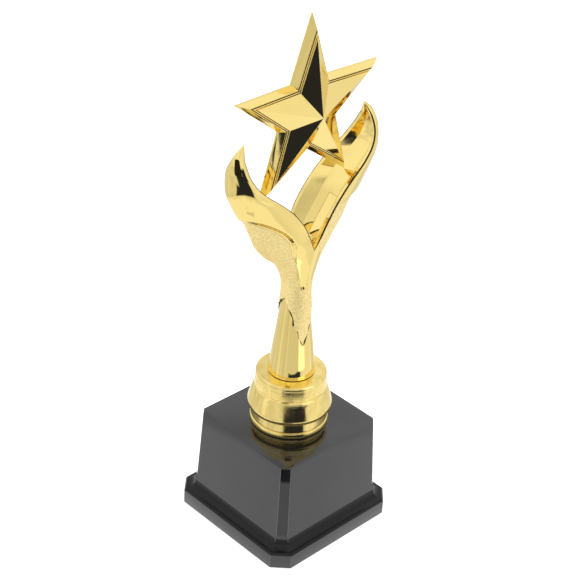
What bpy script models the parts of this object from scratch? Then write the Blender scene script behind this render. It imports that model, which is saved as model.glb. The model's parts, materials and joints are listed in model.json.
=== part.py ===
"""Star trophy: a plated plastic star held between two curved petals, on a turned riser and a black plinth.

Run it with: blender --background --python part.py
Lengths are in millimetres in the constants and metres in the scene. +Z is up and the star faces -Y.
The origin is the centre of the plinth's underside.
"""

import math

import bmesh
import bpy
from mathutils import Matrix, Vector

MM = 0.001
GAP = 0.3  # clearance kept between neighbouring pieces

# Plinth
FOOT_HALF, FOOT_CHAMFER, FOOT_HEIGHT = 38.1, 7.0, 7.3
BLOCK_HALF_LOW, BLOCK_CHAMFER_LOW, MOULDING_TOP = 32.3, 3.8, 14.3
BLOCK_HALF_TOP, BLOCK_CHAMFER_TOP, PLINTH_HEIGHT = 30.4, 3.3, 52.2
COVE_RADIUS = 4.5
PLINTH_WALL = 2.0

# Hidden hardware
ROD_RADIUS, ROD_BOTTOM, ROD_TOP = 2.85, 31.0, 95.0
ROD_HOLE = ROD_RADIUS + GAP
NUT_ACROSS_FLATS, NUT_HEIGHT = 10.0, 5.0
WASHER_RADIUS, WASHER_THICKNESS = 8.0, 1.2
BALLAST_HALF, BALLAST_HEIGHT = 26.0, 9.0
FELT_THICKNESS, COVER_THICKNESS = 0.7, 2.0

# Riser and stem
RISER_TOP = 80.0
STEM_BOTTOM, STEM_TOP, STEM_WALL = RISER_TOP + GAP, 126.0, 2.0
STEM_RADIUS = [(80.3, 11.1), (90, 10.0), (100, 8.75), (110, 7.6), (118, 6.75), (121.5, 6.4), (126, 6.1)]

# Calyx and petals: heights against the sizes of the level section
LEAF_TIP = 98.6
NOTCH, PETAL_TIP = 148.0, 207.3
KEEL = [(98, 9.65), (105, 8.9), (112, 8.15), (118, 7.55), (124, 7.15), (128, 7.7), (132, 9.4), (137, 11.6),
        (142, 14.6), (148, 22.4), (155, 28.6), (163, 32.4), (171, 36.2), (179, 40.8), (187, 43.8), (195, 43.8),
        (202, 41.2), (PETAL_TIP, 35.3)]
RIM_REACH = [(148, 0.0), (152, 1.9), (156, 3.8), (160, 5.9), (164, 8.4), (168, 11.4), (172, 14.9), (176, 19.0),
             (180, 23.8), (184, 28.9), (188, 33.2), (192, 35.9), (196, 37.3), (200, 37.5), (204, 36.4),
             (PETAL_TIP, 35.1)]
HALF_DEPTH = [(98, 9.65), (105, 8.9), (112, 8.15), (118, 7.55), (124, 7.15), (128, 7.2), (132, 7.6), (137, 8.3),
              (142, 9.1), (148, 9.8), (156, 10.6), (164, 10.9), (172, 10.8), (180, 10.5), (188, 8.9), (196, 5.8),
              (204, 1.5), (PETAL_TIP, 0.05)]
LENS_POWER = [(98, 1.0), (126, 1.0), (134, 1.6), (144, 1.75), (160, 1.7), (172, 1.25), (186, 1.4),
              (PETAL_TIP, 1.3)]
STEP_DEPTH = 1.4  # how far the polished petals stand proud of the frosted calyx

# Trough along the inside of each petal
RIM_WIDTH = 1.8
TROUGH_DEPTH = [(142, 0.3), (148, 3.4), (155, 4.6), (165, 6.0), (177, 5.7), (187, 5.0), (192, 3.6), (196, 2.4),
                (200, 1.3), (204, 0.5), (PETAL_TIP, 0.1)]
TROUGH_FLOOR_HALF = [(142, 1.0), (148, 4.2), (155, 5.0), (177, 5.2), (187, 4.2), (196, 2.4), (202, 0.9),
                     (PETAL_TIP, 0.02)]
TROUGH_MOUTH_LOW = [(142, 1.5), (145, 5.6), (148, 8.0)]
PETAL_WALL = 1.8

# Seam between the polished petal and the frosted calyx, as seen from the front: (x, z)
SEAM_FRONT = [(-60, 173.5), (-45, 173.2), (-36.5, 172.3), (-30, 170.6), (-21.6, 165.8), (-16.3, 161.6),
              (-12.5, 157.0), (-10.3, 152.5), (-9.2, 148.0), (-7.8, 143.5), (-6.7, 139.0), (-5.3, 133.0),
              (-4.0, 129.0), (-2.2, 126.3), (0.2, 127.8), (2.2, 131.5), (3.9, 136.0), (4.9, 141.0), (4.6, 146.0),
              (2.2, 150.5), (0.0, 153.0)]
SEAM_BACK = [(-60, 173.0), (-36.5, 171.8), (-27, 168.8), (-13, 169.8), (0.0, 172.0)]
# Lower edge of one leaf: (degrees round from the front, z). The other leaf is half a turn on.
LEAF_EDGE = [(-90, 122.0), (-80, 119.6), (-71, 117.4), (-47.5, 112.0), (-31.5, 105.8), (-15.7, LEAF_TIP),
             (0, 104.2), (19.5, 110.0), (45.5, 116.3), (70, 120.0)]

# Star
STAR_CENTRE = 212.4
STAR_RADIUS, STAR_WAIST = 37.95, 15.4  # tip and inner corner of the front rim
STAR_RIM_Y, STAR_APEX = -3.03, 7.12
STAR_DRAFT, STAR_BEZEL, STAR_BEZEL_RISE = 1.73, 1.44, 0.93
STAR_BACK_APEX = 7.0
STAR_WALL = 1.6


def reset_scene():
    for obj in list(bpy.data.objects):
        bpy.data.objects.remove(obj, do_unlink=True)


def make_collection(name, hidden=False):
    collection = bpy.data.collections.new(name)
    bpy.context.scene.collection.children.link(collection)
    collection.hide_render = hidden
    return collection


reset_scene()
PARTS = make_collection("star_trophy")
CUTTERS = make_collection("cutters", hidden=True)


def material(name, colour, roughness, metallic=0.0):
    made = bpy.data.materials.new(name)
    made.use_nodes = True
    shader = made.node_tree.nodes["Principled BSDF"]
    shader.inputs["Base Color"].default_value = (*colour, 1.0)
    shader.inputs["Roughness"].default_value = roughness
    shader.inputs["Metallic"].default_value = metallic
    return made


GOLD = (0.95, 0.70, 0.25)
STEEL = (0.62, 0.63, 0.64)
POLISHED = material("polished_gold_plating", GOLD, 0.08, 1.0)
FROSTED = material("frosted_gold_plating", GOLD, 0.38, 1.0)
BLACK = material("black_gloss_plastic", (0.012, 0.012, 0.013), 0.12)
ZINC = material("zinc_plated_steel", STEEL, 0.3, 1.0)
IRON = material("cast_iron", (0.12, 0.12, 0.13), 0.7, 1.0)
BOARD = material("black_board", (0.03, 0.03, 0.03), 0.7)
FELT = material("black_felt", (0.02, 0.02, 0.022), 0.95)


def value_at(knots, t):
    """The smooth, never overshooting curve through the knots, at t."""
    if t <= knots[0][0]:
        return knots[0][1]
    if t >= knots[-1][0]:
        return knots[-1][1]
    slopes = [(b[1] - a[1]) / (b[0] - a[0]) for a, b in zip(knots, knots[1:])]
    tangents = [slopes[0]]
    for before, after in zip(slopes, slopes[1:]):
        tangents.append(2 * before * after / (before + after) if before * after > 0 else 0.0)
    tangents.append(slopes[-1])
    i = max(k for k in range(len(slopes)) if knots[k][0] <= t)
    (t0, v0), (t1, v1) = knots[i], knots[i + 1]
    span = t1 - t0
    s = (t - t0) / span
    rise = v0 * (2 * s + 1) * (1 - s) ** 2 + v1 * s * s * (3 - 2 * s)
    return rise + span * (tangents[i] * s * (1 - s) ** 2 + tangents[i + 1] * s * s * (s - 1))


def smooth_step(low, high, t):
    s = min(max((t - low) / (high - low), 0.0), 1.0)
    return s * s * (3 - 2 * s)


def place(mesh, name, look=None, collection=None):
    """An object for this mesh: a part when it has a look, or else a hidden cutter."""
    obj = bpy.data.objects.new(name, mesh)
    (collection or (PARTS if look else CUTTERS)).objects.link(obj)
    if look:
        mesh.materials.append(look)
    else:
        obj.hide_render = True
        obj.display_type = "WIRE"
    return obj


def from_bmesh(bm, name, look=None, smooth_angle=None):
    bm.normal_update()
    bmesh.ops.triangulate(bm, faces=bm.faces)
    bmesh.ops.recalc_face_normals(bm, faces=bm.faces)
    mesh = bpy.data.meshes.new(name)
    bm.to_mesh(mesh)
    bm.free()
    if smooth_angle is not None:
        mesh.shade_smooth()
        mesh.set_sharp_from_angle(angle=math.radians(smooth_angle))
    return place(mesh, name, look)


def loft(name, rings, look=None, smooth_angle=None):
    """A closed solid through level rings of equally many points, in millimetres. A ring of one point is a tip."""
    bm = bmesh.new()
    levels = [[bm.verts.new(Vector(p) * MM) for p in ring] for ring in rings]
    for low, high in zip(levels, levels[1:]):
        count = max(len(low), len(high))
        for i in range(count):
            j = (i + 1) % count
            corners = [low[i % len(low)], low[j % len(low)], high[j % len(high)], high[i % len(high)]]
            bm.faces.new(list(dict.fromkeys(corners)))
    for end in (levels[0], levels[-1]):
        if len(end) > 2:
            bm.faces.new(end)
    return from_bmesh(bm, name, look, smooth_angle)


def prism(name, outline, y_low, y_high):
    """A cutter: the (x, z) outline drawn out between two values of y."""
    bm = bmesh.new()
    face = bm.faces.new([bm.verts.new(Vector((x, y_low, z)) * MM) for x, z in outline])
    drawn = bmesh.ops.extrude_face_region(bm, geom=[face])["geom"]
    moved = [v for v in drawn if isinstance(v, bmesh.types.BMVert)]
    bmesh.ops.translate(bm, verts=moved, vec=Vector((0, y_high - y_low, 0)) * MM)
    return from_bmesh(bm, name)


def cylinder(name, radius, z_low, z_high, look=None, sides=48):
    bm = bmesh.new()
    bmesh.ops.create_cone(bm, cap_ends=True, segments=sides, radius1=radius * MM, radius2=radius * MM,
                          depth=(z_high - z_low) * MM)
    bmesh.ops.translate(bm, verts=bm.verts, vec=(0, 0, (z_low + z_high) / 2 * MM))
    return from_bmesh(bm, name, look, 40 if look else None)


def turned(name, profile, look=None, steps=64):
    """A (radius, z) profile turned about Z with a Screw modifier. It runs down its outer side.

    A profile that starts on the axis also ends on it. Any other is closed on itself.
    """
    bm = bmesh.new()
    points = [bm.verts.new((r * MM, 0, z * MM)) for r, z in profile]
    closing = [] if profile[0][0] == 0 else points[:1]
    for a, b in zip(points, points[1:] + closing):
        bm.edges.new((a, b))
    mesh = bpy.data.meshes.new(name)
    bm.to_mesh(mesh)
    bm.free()
    obj = place(mesh, name, look)
    screw = obj.modifiers.new("turn", "SCREW")
    screw.steps = steps
    screw.render_steps = steps
    screw.use_merge_vertices = True
    screw.merge_threshold = 0.000001
    screw.use_smooth_shade = True
    return obj


def cut(obj, cutter, operation="DIFFERENCE", solver="EXACT"):
    modifier = obj.modifiers.new(f"{operation.lower()}_{cutter.name}", "BOOLEAN")
    modifier.operation = operation
    modifier.solver = solver
    modifier.object = cutter


def carve(obj, cutter, operation="DIFFERENCE"):
    """A cut in one of the curved castings, whose many near-level facets suit the manifold solver."""
    cut(obj, cutter, operation, "MANIFOLD")


def rotated_copy(obj, name):
    """The same shape turned half round about Z."""
    twin = bpy.data.objects.new(name, obj.data)
    twin.rotation_euler = (0, 0, math.pi)
    CUTTERS.objects.link(twin)
    twin.hide_render = True
    twin.display_type = "WIRE"
    return twin


def bevel(obj, width, segments=2, angle=40):
    modifier = obj.modifiers.new("rounded_edges", "BEVEL")
    modifier.width = width * MM
    modifier.segments = segments
    modifier.limit_method = "ANGLE"
    modifier.angle_limit = math.radians(angle)


# ---------------------------------------------------------------- plinth and what is inside it


def square_ring(half, chamfer, z):
    """A square with cut corners: eight points."""
    inner = half - chamfer
    corners = [(half, -inner), (half, inner), (inner, half), (-inner, half),
               (-half, inner), (-half, -inner), (-inner, -half), (inner, -half)]
    return [(x, y, z) for x, y in corners]


def plinth_levels():
    """(half width, chamfer, z) up the plinth's outer face: foot, bead, cove and tapered block."""
    levels = [(FOOT_HALF, FOOT_CHAMFER, 0.0), (FOOT_HALF, FOOT_CHAMFER, FOOT_HEIGHT)]
    cove_half, cove_z = FOOT_HALF - 0.8, FOOT_HEIGHT + 1.0
    steps = 6
    for i in range(steps + 1):
        turn = math.pi / 2 * i / steps
        half = cove_half - COVE_RADIUS * math.sin(turn)
        share = (FOOT_HALF - half) / (FOOT_HALF - BLOCK_HALF_LOW)
        chamfer = FOOT_CHAMFER + (BLOCK_CHAMFER_LOW - FOOT_CHAMFER) * share
        levels.append((half, chamfer, cove_z + COVE_RADIUS * (1 - math.cos(turn))))
    levels.append((BLOCK_HALF_LOW, BLOCK_CHAMFER_LOW, MOULDING_TOP))
    levels.append((BLOCK_HALF_TOP, BLOCK_CHAMFER_TOP, PLINTH_HEIGHT - 0.4))
    levels.append((BLOCK_HALF_TOP - 0.4, BLOCK_CHAMFER_TOP - 0.2, PLINTH_HEIGHT))
    return levels


def make_plinth():
    bm = bmesh.new()
    rings = [[bm.verts.new(Vector(p) * MM) for p in square_ring(*level)] for level in plinth_levels()]
    for low, high in zip(rings, rings[1:]):
        for i in range(8):
            j = (i + 1) % 8
            bm.faces.new((low[i], low[j], high[j], high[i]))
    bm.faces.new(rings[-1])
    shell = from_bmesh(bm, "plinth_shell", BLACK)
    solidify = shell.modifiers.new("wall", "SOLIDIFY")
    solidify.thickness = PLINTH_WALL * MM
    solidify.offset = -1
    solidify.use_even_offset = True
    cut(shell, cylinder("plinth_rod_hole", ROD_HOLE, PLINTH_HEIGHT - 8, PLINTH_HEIGHT + 4))


def make_underside():
    """The felt and the board that close the plinth from below."""
    clear = PLINTH_WALL + GAP
    chamfer = FOOT_CHAMFER - clear * (2 - math.sqrt(2))
    cover_low = FELT_THICKNESS + GAP
    for name, low, thick, look in (("felt_pad", 0.0, FELT_THICKNESS, FELT),
                                   ("base_cover", cover_low, COVER_THICKNESS, BOARD)):
        ring = FOOT_HALF - clear
        loft(name, [square_ring(ring, chamfer, low), square_ring(ring, chamfer, low + thick)], look)


def hexagon_nut(name, z_low):
    radius = NUT_ACROSS_FLATS / math.sqrt(3)
    nut = cylinder(name, radius, z_low, z_low + NUT_HEIGHT, ZINC, sides=6)
    cut(nut, cylinder(name + "_bore", ROD_HOLE, z_low - 2, z_low + NUT_HEIGHT + 2, sides=32))


def make_hardware():
    """The ballast under the plinth's top, and the rod, nuts and washer that clamp everything together."""
    ceiling = PLINTH_HEIGHT - PLINTH_WALL
    ballast_top = ceiling - GAP
    ballast_low = ballast_top - BALLAST_HEIGHT
    ballast = loft("ballast_block", [square_ring(BALLAST_HALF, 3.0, ballast_low),
                                     square_ring(BALLAST_HALF, 3.0, ballast_top)], IRON)
    cut(ballast, cylinder("ballast_rod_hole", ROD_HOLE, ballast_low - 2, ballast_top + 2, sides=32))
    washer_low = ballast_low - GAP - WASHER_THICKNESS
    turned("clamp_washer", [(WASHER_RADIUS, washer_low + WASHER_THICKNESS), (WASHER_RADIUS, washer_low),
                            (ROD_HOLE, washer_low), (ROD_HOLE, washer_low + WASHER_THICKNESS)], ZINC, 32)
    hexagon_nut("clamp_nut", washer_low - GAP - NUT_HEIGHT)
    rod = cylinder("tie_rod", ROD_RADIUS, ROD_BOTTOM, ROD_TOP, ZINC, sides=32)
    bevel(rod, 0.5, 1)


# ---------------------------------------------------------------- riser and stem


def make_riser():
    low = PLINTH_HEIGHT + GAP
    outer = [(15.7, RISER_TOP), (16.25, RISER_TOP - 0.25), (16.6, RISER_TOP - 0.8), (16.8, RISER_TOP - 1.8),
             (17.0, 76.0), (17.3, 72.4), (17.15, 72.0), (17.5, 71.5), (18.2, 69.4), (19.0, 67.0), (19.6, 65.0),
             (19.9, 63.4), (19.9, 62.4), (19.6, 61.4), (19.0, 60.5), (18.2, 60.0), (17.6, 59.7), (17.5, 59.3),
             (17.8, 57.6), (18.2, 55.7), (18.0, 55.3), (18.6, 54.95), (18.9, 53.8), (18.65, low + 0.3), (18.0, low)]
    inner = [(14.6, low), (14.8, 74.0), (14.2, 77.6), (6.0, 77.6), (5.6, 77.0), (5.6, low + 0.4), (ROD_HOLE, low + 0.4)]
    turned("riser_collar", outer + inner + [(ROD_HOLE, RISER_TOP)], POLISHED, 72)


def stem_profile():
    """The stem's closed section: tapered wall, thick floor with the rod's hole, open top."""
    outer = [(value_at(STEM_RADIUS, z), z) for z in (126, 122, 118, 113, 108, 102, 96, 90, 85, STEM_BOTTOM)]
    floor = STEM_BOTTOM + 3.0
    inner = [(value_at(STEM_RADIUS, z) - STEM_WALL, z) for z in (floor, 90, 100, 110, 118, 126)]
    return outer + [(ROD_HOLE, STEM_BOTTOM), (ROD_HOLE, floor)] + inner


def make_stem():
    turned("stem_sleeve", stem_profile(), POLISHED, 64)
    hexagon_nut("stem_nut", STEM_BOTTOM + 3.0 + GAP)


# ---------------------------------------------------------------- calyx and petals

LEVELS = [98, 101, 105, 109, 113, 117, 121, 124.5, 127.5, 130, 132.5, 135, 137.5, 140, 142.5, 145, 146.8,
          149.2, 151.5, 154, 157, 160, 163, 166, 169, 172, 175, 178, 181, 184, 187, 190, 193, 196, 199, 201.5,
          203.5, 205, 206.2]
ARC_STEPS = 24


def calyx_inset(turn, z):
    """How far the frosted surface lies inside the polished one: most at the petal's edge, none at its far rim."""
    return STEP_DEPTH * smooth_step(141, 152, z) * smooth_step(math.radians(-85), math.radians(-45), turn)


def half_section(z, inset=None):
    """The level ring of the left half (x < 0): an arc from the front rim round the keel, closed by a chord."""
    reach = value_at(RIM_REACH, z) if z > NOTCH else 0.0
    keel, depth, power = (value_at(knots, z) for knots in (KEEL, HALF_DEPTH, LENS_POWER))
    ring = []
    for i in range(ARC_STEPS + 1):
        turn = math.pi / 2 - math.pi * i / ARC_STEPS
        off = inset(turn, z) if inset else 0.0
        swing = math.copysign(abs(math.sin(turn)) ** power, turn)
        x = reach + max(keel - reach - off, 0.05) * math.cos(turn)
        ring.append((-x, -max(depth - off, 0.02) * swing, z))
    bulge = min(1.0, 0.5 * (NOTCH - z)) if z < NOTCH else -reach
    ring += [(bulge, 0.85 * ring[-1][1], z), (bulge, 0.85 * ring[0][1], z)]
    return ring


def figure_blank(name, look, inset=None):
    """The calyx and both petals as one solid, before they are cut from one another."""
    tip = [(-value_at(RIM_REACH, PETAL_TIP), 0.0, PETAL_TIP)]
    rings = [half_section(z, inset) for z in LEVELS] + [tip]
    left = loft(name, rings, look, 35)
    return left


def trough_section(z):
    """The level ring of the hollow along a petal's inner side: mouth, two leaning walls and a floor."""
    reach = value_at(RIM_REACH, z) if z > NOTCH else 0.0
    depth = value_at(HALF_DEPTH, z)
    mouth = value_at(TROUGH_MOUTH_LOW, z) if z < NOTCH else max(depth - RIM_WIDTH, 0.4 * depth)
    floor = reach + value_at(TROUGH_DEPTH, z)
    floor_half = min(value_at(TROUGH_FLOOR_HALF, z), 0.9 * mouth)
    back = 3.0 - reach if reach < 8 else -(reach - 5.0)
    outline = [(back, -mouth), (-reach, -mouth), (-floor, -floor_half), (-floor - 0.5, 0), (-floor, floor_half),
               (-reach, mouth), (back, mouth)]
    return [(x, y, z) for x, y in outline]


def make_trough_cutter():
    levels = [z for z in LEVELS if 142 < z < 206]
    return loft("petal_trough", [trough_section(z) for z in levels])


def core_section(z):
    """The level ring of the void inside a petal's wall."""
    reach, keel, depth, power = (value_at(knots, z) for knots in (RIM_REACH, KEEL, HALF_DEPTH, LENS_POWER))
    near = reach + value_at(TROUGH_DEPTH, z) + PETAL_WALL + 0.5
    far = max(keel - PETAL_WALL, near + 0.4)
    ring = []
    steps = 6
    for side in (-1, 1):
        for i in range(steps + 1):
            share = i / steps if side < 0 else 1 - i / steps
            x = near + (far - near) * share
            along = min((x - reach) / (keel - reach), 1.0)
            half = depth * math.sin(math.acos(along)) ** power - PETAL_WALL
            ring.append((-x, side * max(half, 0.3), z))
    return ring


def make_core_cutter():
    return loft("petal_core", [core_section(z) for z in (158, 163, 168, 173, 178, 183, 187, 190)])


def smooth_outline(points, per_span=4):
    """A rounder polyline through the points (Catmull-Rom)."""
    ends = [points[0]] + points + [points[-1]]
    found = []
    for a, b, c, d in zip(ends, ends[1:], ends[2:], ends[3:]):
        for i in range(per_span):
            s = i / per_span
            found.append(tuple(
                0.5 * (2 * q + (r - p) * s + (2 * p - 5 * q + 4 * r - t) * s * s + (3 * q - p - 3 * r + t) * s**3)
                for p, q, r, t in zip(a, b, c, d)))
    return found + [points[-1]]


def shifted(points, distance):
    """The polyline moved sideways, to its right when followed from first point to last."""
    moved = []
    for i, (x, z) in enumerate(points):
        before, after = points[max(i - 1, 0)], points[min(i + 1, len(points) - 1)]
        dx, dz = after[0] - before[0], after[1] - before[1]
        length = math.hypot(dx, dz)
        moved.append((x + distance * dz / length, z - distance * dx / length))
    return moved


SEAMS = {"front": smooth_outline(SEAM_FRONT), "back": smooth_outline(SEAM_BACK, 3)}
SIDES = {"front": (-50.0, GAP / 2), "back": (-GAP / 2, 50.0)}


def petal_complement(side):
    """Cutter for all that isn't the left petal, in front of or behind the middle plane."""
    seam = SEAMS[side]
    outline = seam + [(GAP / -2, seam[-1][1]), (GAP / -2, 220), (60, 220), (60, 90), (-60, 90)]
    return prism(f"not_petal_{side}", outline, *SIDES[side])


def petal_room(side):
    """Cutter that leaves room for the left petal in the calyx."""
    seam = shifted(SEAMS[side], GAP)
    outline = seam + [(seam[-1][0], 220), (-60, 220)]
    return prism(f"petal_room_{side}", outline, *SIDES[side])


def make_petals(trough):
    """The left petal, and the right one as the same shape turned half round."""
    core = make_core_cutter()
    others = [petal_complement(side) for side in SEAMS]
    blank = figure_blank("petal_left", POLISHED)
    right_half = rotated_copy(blank, "petal_blank_right")
    right_trough = rotated_copy(trough, "petal_trough_right")
    carve(blank, right_half, "UNION")
    for cutter in (*others, trough, right_trough, core):
        carve(blank, cutter)
    twin = bpy.data.objects.new("petal_right", blank.data)
    PARTS.objects.link(twin)
    twin.rotation_euler = (0, 0, math.pi)
    for operation, near, far in (("UNION", right_half, "petal_blank_left"),
                                 ("DIFFERENCE", others[0], "not_right_front"),
                                 ("DIFFERENCE", others[1], "not_right_back"),
                                 ("DIFFERENCE", trough, "petal_trough_left"),
                                 ("DIFFERENCE", right_trough, "petal_trough_far"),
                                 ("DIFFERENCE", core, "petal_core_right")):
        turned_cutter = rotated_copy(near, far)
        turned_cutter.rotation_euler = (0, 0, near.rotation_euler.z + math.pi)
        carve(twin, turned_cutter, operation)


def make_leaf_cutter():
    """A ring round the stem whose top is the leaves' pointed lower edge: it takes away all below it."""
    edge = LEAF_EDGE + [(turn + 180, z) for turn, z in LEAF_EDGE]
    bm = bmesh.new()
    walls = []
    for turn, z in edge:
        x, y = math.sin(math.radians(turn)), -math.cos(math.radians(turn))
        corners = [(4, 90), (14, 90), (14, z), (4, z)]
        walls.append([bm.verts.new(Vector((r * x, r * y, height)) * MM) for r, height in corners])
    for here, there in zip(walls, walls[1:] + walls[:1]):
        for i in range(4):
            j = (i + 1) % 4
            bm.faces.new((here[i], here[j], there[j], there[i]))
    return from_bmesh(bm, "leaf_cut")


def make_calyx(trough):
    left = figure_blank("calyx_sheath", FROSTED, calyx_inset)
    carve(left, rotated_copy(left, "calyx_right_half"), "UNION")
    for side in SEAMS:
        room = petal_room(side)
        carve(left, room)
        carve(left, rotated_copy(room, f"petal_room_{side}_right"))
    carve(left, trough)
    carve(left, bpy.data.objects["petal_trough_right"])
    carve(left, make_leaf_cutter())
    bore = [(value_at(STEM_RADIUS, z) + GAP, z) for z in (STEM_TOP + GAP, 122, 118, 113, 108, 102, 96, 92)]
    carve(left, turned("calyx_bore", [(0.0, STEM_TOP + GAP)] + bore + [(0.0, 92)]))


# ---------------------------------------------------------------- star


def star_ring(inset, y, tip=STAR_RADIUS, waist=STAR_WAIST):
    """The star's outline in the XZ plane, moved inwards by inset at right angles to its edges."""
    tip_radius = tip - inset / math.sin(math.radians(18))
    waist_radius = waist - inset / math.cos(math.radians(36))
    ring = []
    for i in range(10):
        angle = math.radians(90 + 36 * i)
        radius = waist_radius if i % 2 else tip_radius
        ring.append((radius * math.cos(angle), y, STAR_CENTRE + radius * math.sin(angle)))
    return ring


def make_star_front():
    """The faceted face: drafted side, two-stepped bezel and five-ridged pyramid, hollow behind."""
    rim = STAR_RIM_Y
    rings = [star_ring(-STAR_DRAFT, -GAP / 2), star_ring(0.0, rim), star_ring(0.5, rim),
             star_ring(0.62, rim - STAR_BEZEL_RISE * 0.5), star_ring(1.1, rim - STAR_BEZEL_RISE * 0.5),
             star_ring(STAR_BEZEL, rim - STAR_BEZEL_RISE), [(0, rim - STAR_APEX, STAR_CENTRE)]]
    shell = loft("star_front_shell", rings, POLISHED)
    apex = (0, rim - STAR_APEX + 1.9, STAR_CENTRE)
    hollow = loft("star_front_hollow", [star_ring(0.2, 2.0), star_ring(0.9, rim + 0.9), [apex]])
    cut(shell, hollow)


def make_star_back():
    """The closing shell: a shallow pyramid from the parting plane."""
    rings = [star_ring(-STAR_DRAFT, GAP / 2), star_ring(-STAR_DRAFT, 1.0), [(0, STAR_BACK_APEX, STAR_CENTRE)]]
    shell = loft("star_back_shell", rings, POLISHED)
    hollow = loft("star_back_hollow", [star_ring(0.2, -2.0), star_ring(0.2, GAP / 2),
                                       [(0, STAR_BACK_APEX - 2.2, STAR_CENTRE)]])
    cut(shell, hollow)


def main():
    make_plinth()
    make_underside()
    make_hardware()
    make_riser()
    make_stem()
    trough = make_trough_cutter()
    make_petals(trough)
    make_calyx(trough)
    make_star_front()
    make_star_back()


main()
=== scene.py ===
"""Star trophy: a gold plated star held between two petals, on a turned riser and a black plinth.

Lengths are in millimetres in the constants and metres in the scene. +Z is up and the star faces -Y.
"""

import json
import math

import bmesh
import bpy
from mathutils import Matrix, Vector


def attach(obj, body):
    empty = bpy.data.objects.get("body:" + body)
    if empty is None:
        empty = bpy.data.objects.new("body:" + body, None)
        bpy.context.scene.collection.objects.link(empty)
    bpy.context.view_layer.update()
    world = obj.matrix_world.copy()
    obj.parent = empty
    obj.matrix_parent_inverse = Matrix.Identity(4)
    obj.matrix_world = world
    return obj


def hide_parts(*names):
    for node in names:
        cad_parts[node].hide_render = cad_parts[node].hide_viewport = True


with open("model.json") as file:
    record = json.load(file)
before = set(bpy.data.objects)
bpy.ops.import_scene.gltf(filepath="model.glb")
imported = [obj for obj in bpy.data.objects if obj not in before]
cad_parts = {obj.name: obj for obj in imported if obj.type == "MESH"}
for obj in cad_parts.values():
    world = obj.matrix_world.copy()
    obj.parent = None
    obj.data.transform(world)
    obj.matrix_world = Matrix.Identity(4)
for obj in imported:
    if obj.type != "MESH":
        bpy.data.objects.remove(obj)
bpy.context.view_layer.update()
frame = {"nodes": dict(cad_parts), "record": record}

MM = 0.001
GAP = 0.3
MERGE = 0.000002  # metres

# Plinth
FOOT_HALF, FOOT_CHAMFER, FOOT_HEIGHT = 38.1, 7.0, 7.3
BLOCK_HALF_LOW, BLOCK_CHAMFER_LOW, MOULDING_TOP = 32.3, 3.8, 14.3
BLOCK_HALF_TOP, BLOCK_CHAMFER_TOP, PLINTH_HEIGHT = 30.4, 3.3, 52.2
COVE_RADIUS, COVE_SETBACK, COVE_LIFT = 4.5, 0.8, 1.0
PLINTH_WALL, PLINTH_ROUNDING = 2.0, 0.35

# Riser and stem
ROD_HOLE = 3.15
RISER_TOP = 80.0
STEM_BOTTOM, STEM_TOP, STEM_WALL = RISER_TOP + GAP, 126.0, 2.0
STEM_RADIUS = [(80.3, 11.1), (90, 10.0), (100, 8.75), (110, 7.6), (118, 6.75), (121.5, 6.4), (126, 6.1)]

# Calyx and petals: heights against the sizes of the level section
LEAF_TIP = 98.6
NOTCH, PETAL_TIP = 148.0, 207.3
KEEL = [(98, 9.65), (105, 8.9), (112, 8.15), (118, 7.55), (124, 7.15), (128, 7.7), (132, 9.4),
        (137, 11.6), (142, 14.6), (148, 22.4), (155, 28.6), (163, 32.4), (171, 36.2), (179, 40.8),
        (187, 43.8), (195, 43.8), (202, 41.2), (PETAL_TIP, 35.3)]
RIM_REACH = [(148, 0.0), (152, 1.9), (156, 3.8), (160, 5.9), (164, 8.4), (168, 11.4), (172, 14.9),
             (176, 19.0), (180, 23.8), (184, 28.9), (188, 33.2), (192, 35.9), (196, 37.3), (200, 37.5),
             (204, 36.4), (PETAL_TIP, 35.1)]
HALF_DEPTH = [(98, 9.65), (105, 8.9), (112, 8.15), (118, 7.55), (124, 7.15), (128, 7.2), (132, 7.6),
              (137, 8.3), (142, 9.1), (148, 9.8), (156, 10.6), (164, 10.9), (172, 10.8), (180, 10.5),
              (188, 8.9), (196, 5.8), (204, 1.5), (PETAL_TIP, 0.05)]
LENS_POWER = [(98, 1.0), (126, 1.0), (134, 1.6), (144, 1.75), (160, 1.7), (172, 1.25), (186, 1.4),
              (PETAL_TIP, 1.3)]
STEP_DEPTH, STEP_START, STEP_END = 1.4, 141, 152  # the frosted ground below the band, and its heights

# Trough along the inside of each petal
RIM_WIDTH = 1.8
TROUGH_DEPTH = [(142, 0.3), (148, 3.4), (155, 4.6), (165, 6.0), (177, 5.7), (187, 5.0), (192, 3.6),
                (196, 2.4), (200, 1.3), (204, 0.5), (PETAL_TIP, 0.1)]
TROUGH_FLOOR_HALF = [(142, 1.0), (148, 4.2), (155, 5.0), (177, 5.2), (187, 4.2), (196, 2.4), (202, 0.9),
                     (PETAL_TIP, 0.02)]
TROUGH_MOUTH_LOW = [(142, 1.5), (145, 5.6), (148, 8.0)]

# Seam between the polished petal and the frosted calyx, as seen from the front: (x, z)
SEAM_FRONT = [(-60, 173.5), (-45, 173.2), (-36.5, 172.3), (-30, 170.6), (-21.6, 165.8), (-16.3, 161.6),
              (-12.5, 157.0), (-10.3, 152.5), (-9.2, 148.0), (-7.8, 143.5), (-6.7, 139.0), (-5.3, 133.0),
              (-4.0, 129.0), (-2.2, 126.3), (0.2, 127.8), (2.2, 131.5), (3.9, 136.0), (4.9, 141.0),
              (4.6, 146.0), (2.2, 150.5), (0.0, 153.0)]
SEAM_BACK = [(-60, 173.0), (-36.5, 171.8), (-27, 168.8), (-13, 169.8), (0.0, 172.0)]
LEAF_EDGE = [(-90, 122.0), (-80, 119.6), (-71, 117.4), (-47.5, 112.0), (-31.5, 105.8), (-15.7, LEAF_TIP),
             (0, 104.2), (19.5, 110.0), (45.5, 116.3), (70, 120.0)]

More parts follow.
